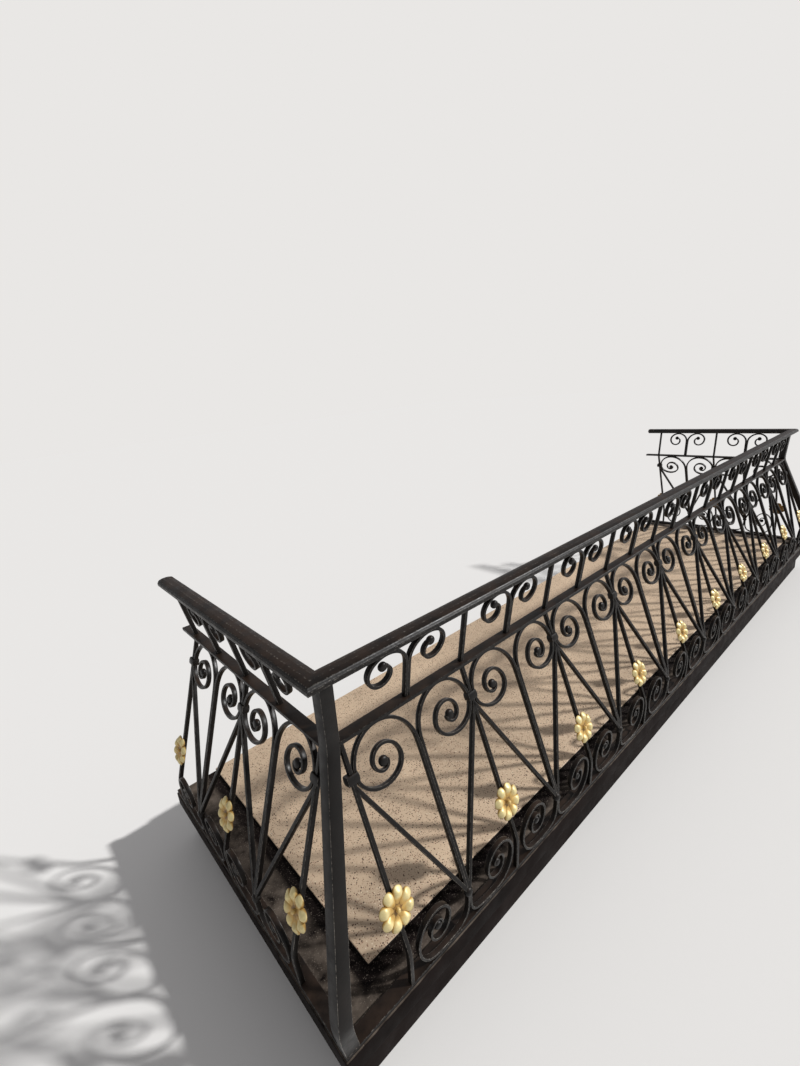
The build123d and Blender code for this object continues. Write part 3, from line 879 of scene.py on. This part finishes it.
class BALCONY_OT_large_scrolls(bpy.types.Operator):
    """Make the pairs of large scrolls between the belly and the mid rail"""

    bl_idname = "balcony.large_scrolls"
    bl_label = "Large Scrolls"

    def execute(self, context):
        sizes = context.scene.balcony_sizes

        def drawing(lines):
            scroll, _ = large_scroll(half_bay(lines), sizes)
            return repeated(moved(both_ways(scroll), (0, FOOT_HIGH, 0)), bay_middles(lines))

        per_side("large_scrolls", "scroll_pairs", drawing, bellied, sizes)
        return {"FINISHED"}


class BALCONY_OT_frieze(bpy.types.Operator):
    """Make the small scrolls and the plain bars between the mid rail and the handrail"""

    bl_idname = "balcony.frieze"
    bl_label = "Frieze"

    def execute(self, context):
        sizes = context.scene.balcony_sizes

        def scrolls(lines):
            return repeated(both_ways(frieze_scroll(half_bay(lines), sizes)), bay_middles(lines))

        def bars(lines):
            line = np.linspace((0, 0), (0, FRIEZE_HIGH), 6)
            bar = forged(line, sizes.bar_thick, sizes.bar_deep, sizes.corner)
            # The corner posts stand in for the last bars: both ends of the front, the outer end of a side.
            first = 1 if len(lines) == sizes.front_bays + 1 else 0
            return repeated(bar, lines[first:-1])

        per_side("small_scrolls", "frieze_scrolls", scrolls, leaning, sizes)
        per_side("small_bars", "frieze_bars", bars, leaning, sizes)
        return {"FINISHED"}


class BALCONY_OT_foot_scrolls(bpy.types.Operator):
    """Make the volutes between the bottom rail and the belly"""

    bl_idname = "balcony.foot_scrolls"
    bl_label = "Foot Volutes"

    def execute(self, context):
        sizes = context.scene.balcony_sizes

        def drawing(lines):
            return repeated(both_ways(foot_scroll(half_bay(lines), sizes)), bay_middles(lines))

        per_side("foot_volutes", "foot_scrolls", drawing, upright, sizes)
        return {"FINISHED"}


class BALCONY_OT_fans(bpy.types.Operator):
    """Make the centre bars and the spokes that fan out to the belly"""

    bl_idname = "balcony.fans"
    bl_label = "Centre Bars and Spokes"

    def execute(self, context):
        sizes = context.scene.balcony_sizes

        def drawing(lines):
            half, below_eye = half_bay(lines), 0.014
            _, eye = large_scroll(half, sizes)
            bar = (sizes.bar_thick, sizes.bar_deep, sizes.corner)
            centre = forged(np.linspace((0, 0), (0, FOOT_HIGH + FIELD_HIGH), 50), *bar)
            top = FOOT_HIGH + eye[1] - below_eye
            spoke = forged(np.linspace((0, top), (half, FOOT_HIGH), 30), *bar)
            right, left = repeated(spoke, lines[:-1]), repeated(mirrored(spoke), lines[1:])
            return joined([repeated(centre, lines), right, left])

        per_side("fans", "fan_bars", drawing, bellied, sizes)
        return {"FINISHED"}


class BALCONY_OT_ties(bpy.types.Operator):
    """Make the forged collars and the bosses where the spokes meet"""

    bl_idname = "balcony.ties"
    bl_label = "Collars and Bosses"

    def execute(self, context):
        sizes = context.scene.balcony_sizes

        def collars(lines):
            _, eye = large_scroll(half_bay(lines), sizes)
            lap, proud, above_eye = 0.003, 0.007, 0.010
            wide = sizes.bar_thick + 2 * sizes.scroll_thick + lap
            band = collar(wide, sizes.collar_high, sizes.bar_deep + proud)
            return repeated(moved(band, (0, FOOT_HIGH + eye[1] + above_eye, 0)), lines)

        def bosses(lines):
            boss = button((0, FOOT_HIGH), radius=0.0145, half_deep=0.0125, power=0.7)
            return repeated(boss, bay_middles(lines))

        per_side("collar_bands", "collars", collars, bellied, sizes)
        per_side("belly_bosses", "tie_bosses", bosses, bellied, sizes)
        return {"FINISHED"}


class BALCONY_OT_rosettes(bpy.types.Operator):
    """Make the gilded rosettes on the centre bars"""

    bl_idname = "balcony.rosettes"
    bl_label = "Rosettes"

    def execute(self, context):
        sizes = context.scene.balcony_sizes
        low, high = box("rosettes_front")
        up = ((low[2] + high[2]) / 2 - BELLY_Z) / (MID_LOW - BELLY_Z) * FIELD_HIGH

        def drawing(lines):
            flower = moved(rosette(sizes), (0, FOOT_HIGH + up, sizes.bar_deep / 2 + DISC_HALF_DEEP))
            return repeated(flower, lines)

        per_side("gilded_rosettes", "rosettes", drawing, bellied, sizes, GOLD)
        return {"FINISHED"}


class BALCONY_OT_stage(bpy.types.Operator):
    """Set out the pale floor, the soft lamps and the camera"""

    bl_idname = "balcony.stage"
    bl_label = "Stage"

    def execute(self, context):
        add_floor()
        add_lamps()
        add_camera()
        return {"FINISHED"}


def add_floor():
    """Wide pale floor under the base: z = the lowest level of the part."""
    reach, z = 30.0, CAD_BOX[0][2]
    mesh = bpy.data.meshes.new("stage_floor")
    mesh.from_pydata([(-reach, -reach, z), (reach, -reach, z), (reach, reach, z), (-reach, reach, z)], [],
                     [(0, 1, 2, 3)])
    floor = bpy.data.objects.new("stage_floor", mesh)
    bpy.context.scene.collection.objects.link(floor)
    material, _, surface, _ = fresh_material("pale_studio_floor")
    surface.inputs["Base Color"].default_value = (*linear("#f1efec"), 1)
    surface.inputs["Roughness"].default_value = 0.85
    surface.inputs["Specular IOR Level"].default_value = 0.0
    floor.data.materials.append(material)


def add_lamps():
    """Key of 3 degrees from the right and front, and an even pale surround."""
    data = bpy.data.lights.new("key", "SUN")
    data.energy = 3.4
    data.angle = math.radians(3)
    lamp = bpy.data.objects.new("key", data)
    back = np.array([0.64, -0.52, 0.56])
    back = back / np.linalg.norm(back)
    side = np.cross((0, 0, 1), back)
    side = side / np.linalg.norm(side)
    turn = np.stack([side, np.cross(back, side), back], -1)
    lamp.rotation_euler = Matrix(turn.tolist()).to_euler()
    bpy.context.scene.collection.objects.link(lamp)
    world = bpy.data.worlds.new("pale_surround")
    world.use_nodes = True
    tree = world.node_tree
    tree.nodes.clear()
    seen = put(tree, "ShaderNodeLightPath")
    shown = put(tree, "ShaderNodeMix", {"data_type": "RGBA"}, {"Factor": (seen, "Is Camera Ray")})
    shown.inputs["A"].default_value = (0.32, 0.32, 0.33, 1)
    shown.inputs["B"].default_value = (*linear("#e9e7e5"), 1)
    surround = put(tree, "ShaderNodeBackground", None, {"Color": (shown, "Result"), "Strength": 1.0})
    put(tree, "ShaderNodeOutputWorld", None, {"Surface": (surround, "Background")})
    bpy.context.scene.world = world


def add_camera():
    """Camera at the photograph's place: its right, up and back directions as the columns of its turn."""
    right = (0.74295, -0.66198, -0.09908)
    up = (0.26115, 0.15037, 0.95352)
    back = (-0.61631, -0.73429, 0.28459)
    data = bpy.data.cameras.new("camera")
    data.sensor_width = 36.0
    data.lens = 16.78
    camera = bpy.data.objects.new("camera", data)
    camera.rotation_euler = Matrix((right, up, back)).transposed().to_euler()
    camera.location = (-2.5932, -1.9601, 1.6631)
    bpy.context.scene.collection.objects.link(camera)
    bpy.context.scene.camera = camera
    bpy.context.scene.view_settings.view_transform = "Standard"


class BALCONY_PT_panel(bpy.types.Panel):
    """Sizes, colours and makers of the balcony"""

    bl_idname = "BALCONY_PT_panel"
    bl_label = "Iron Balcony"
    bl_space_type = "VIEW_3D"
    bl_region_type = "UI"
    bl_category = "Balcony"

    def draw(self, context):
        layout = self.layout
        for group in (context.scene.balcony_sizes, context.scene.balcony_colours):
            for name in group.bl_rna.properties.keys():
                if name not in {"rna_type", "name"}:
                    layout.prop(group, name)
        for operator in OPERATORS:
            layout.operator(operator.bl_idname)


OPERATORS = (
    BALCONY_OT_base,
    BALCONY_OT_rails,
    BALCONY_OT_posts,
    BALCONY_OT_large_scrolls,
    BALCONY_OT_frieze,
    BALCONY_OT_foot_scrolls,
    BALCONY_OT_fans,
    BALCONY_OT_ties,
    BALCONY_OT_rosettes,
    BALCONY_OT_stage,
)
CLASSES = (RailingSizes, FinishColours, *OPERATORS, BALCONY_PT_panel)


def register():
    for each in CLASSES:
        bpy.utils.register_class(each)
    bpy.types.Scene.balcony_sizes = PointerProperty(type=RailingSizes)
    bpy.types.Scene.balcony_colours = PointerProperty(type=FinishColours)


def unregister():
    del bpy.types.Scene.balcony_colours
    del bpy.types.Scene.balcony_sizes
    for each in reversed(CLASSES):
        bpy.utils.unregister_class(each)


def main():
    register()
    bpy.ops.balcony.base()
    bpy.ops.balcony.rails()
    bpy.ops.balcony.posts()
    bpy.ops.balcony.large_scrolls()
    bpy.ops.balcony.frieze()
    bpy.ops.balcony.foot_scrolls()
    bpy.ops.balcony.fans()
    bpy.ops.balcony.ties()
    bpy.ops.balcony.rosettes()
    bpy.ops.balcony.stage()
    bpy.context.view_layer.update()


if __name__ == "__main__":
    main()
